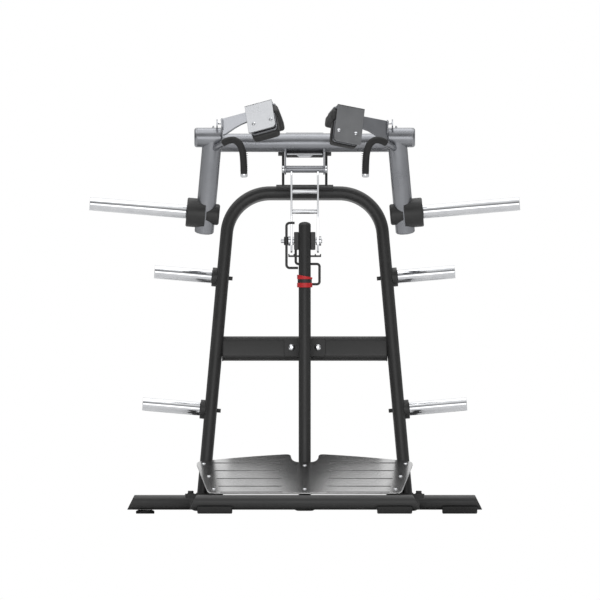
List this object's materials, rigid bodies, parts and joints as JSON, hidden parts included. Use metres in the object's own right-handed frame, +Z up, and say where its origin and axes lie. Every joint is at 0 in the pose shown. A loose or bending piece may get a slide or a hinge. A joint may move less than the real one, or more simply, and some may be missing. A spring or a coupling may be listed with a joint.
{
  "type": "plate-loaded standing squat machine",
  "caption": "Free-standing leverage squat machine: bent-tube frame, sloping foot plate, pivoted yoke with swivelling shoulder pads, weight horns and a lock-out prop.",
  "frame": {"origin": "on the floor, under the centre of the bounding box", "axes": "+Z up, +X to the right of someone who stands behind the foot plate and looks at the frame, -Y the user's side, +Y the rear"},
  "size_m": [1.629, 1.208, 1.5672],
  "materials": {
    "black_paint": "satin black powder coat",
    "grey_paint": "metallic grey powder coat",
    "pad_plate_grey": "light metallic grey powder coat",
    "chrome": "polished chrome plate",
    "footplate_metal": "satin bright metal with raised ridges",
    "rubber": "matt black",
    "upholstery": "grained black synthetic leather",
    "red_plastic": "red accent",
    "black_plastic": "black moulded cap"
  },
  "bodies": {
    "frame": {"front_floor_beam": "black_paint", "rear_floor_beam": "black_paint", "left_floor_rail": "black_paint", "right_floor_rail": "black_paint", "centre_floor_rail": "black_paint", "front_left_foot": "rubber", "front_right_foot": "rubber", "rear_right_foot": "rubber", "rear_left_levelling_foot": "rubber", "footplate": "footplate_metal", "left_footplate_wedge": "black_paint", "right_footplate_wedge": "black_paint", "main_arch": "black_paint", "crossbar": "black_paint", "post": "black_paint", "post_mounting_plate": "black_paint", "post_collar": "red_plastic", "post_wire_loop": "black_paint", "prop_cradle": "black_paint", "pivot_clevis": "black_paint", "pivot_axle": "chrome", "left_upper_storage_horn": "chrome", "left_upper_storage_flange": "black_plastic", "left_lower_storage_horn": "chrome", "left_lower_storage_flange": "black_plastic", "right_upper_storage_horn": "chrome", "right_upper_storage_flange": "black_plastic", "right_lower_storage_horn": "chrome", "right_lower_storage_flange": "black_plastic"},
    "prop": {"prop_arm": "chrome", "prop_axle": "chrome", "prop_handle": "black_paint"},
    "lever": {"lever_hub": "grey_paint", "yoke_beam": "grey_paint", "left_swivel_housing": "grey_paint", "left_swivel_cap": "grey_paint", "left_weight_arm": "grey_paint", "left_weight_arm_cap": "grey_paint", "left_weight_horn": "chrome", "left_outer_collar": "black_plastic", "left_inner_collar": "black_plastic", "left_handle": "rubber", "right_swivel_housing": "grey_paint", "right_swivel_cap": "grey_paint", "right_weight_arm": "grey_paint", "right_weight_arm_cap": "grey_paint", "right_weight_horn": "chrome", "right_outer_collar": "black_plastic", "right_inner_collar": "black_plastic", "right_handle": "rubber"},
    "left_pad": {"left_pad_bracket": "grey_paint", "left_pad_plate": "pad_plate_grey", "left_top_pad": "upholstery", "left_back_pad": "upholstery"},
    "right_pad": {"right_pad_bracket": "grey_paint", "right_pad_plate": "pad_plate_grey", "right_top_pad": "upholstery", "right_back_pad": "upholstery"},
    "left_pin": {"left_index_pin": "chrome"},
    "right_pin": {"right_index_pin": "chrome"}
  },
  "joints": [
    {"name": "lever_swing", "type": "hinge", "parent": "frame", "child": "lever", "pos_m": [0, 0.16, 1.395], "axis": [-1, 0, 0], "range_deg": [0, 25]},
    {"name": "prop_swing", "type": "hinge", "parent": "frame", "child": "prop", "pos_m": [0, -0.08, 1.031], "axis": [1, 0, 0], "range_deg": [0, 35]},
    {"name": "left_pad_swivel", "type": "hinge", "parent": "lever", "child": "left_pad", "pos_m": [0, -0.28, 1.422], "axis": [-1, 0, 0], "range_deg": [-38.5, 12.8]},
    {"name": "right_pad_swivel", "type": "hinge", "parent": "lever", "child": "right_pad", "pos_m": [0, -0.28, 1.422], "axis": [-1, 0, 0], "range_deg": [-12.8, 38.5]},
    {"name": "left_pin_pull", "type": "slide", "parent": "left_pad", "child": "left_pin", "axis": [1, 0, 0], "range_m": [0, 0.012], "stiffness_N_per_m": 800, "springref_m": -0.004},
    {"name": "right_pin_pull", "type": "slide", "parent": "right_pad", "child": "right_pin", "axis": [-1, 0, 0], "range_m": [0, 0.012], "stiffness_N_per_m": 800, "springref_m": -0.004}
  ]
}
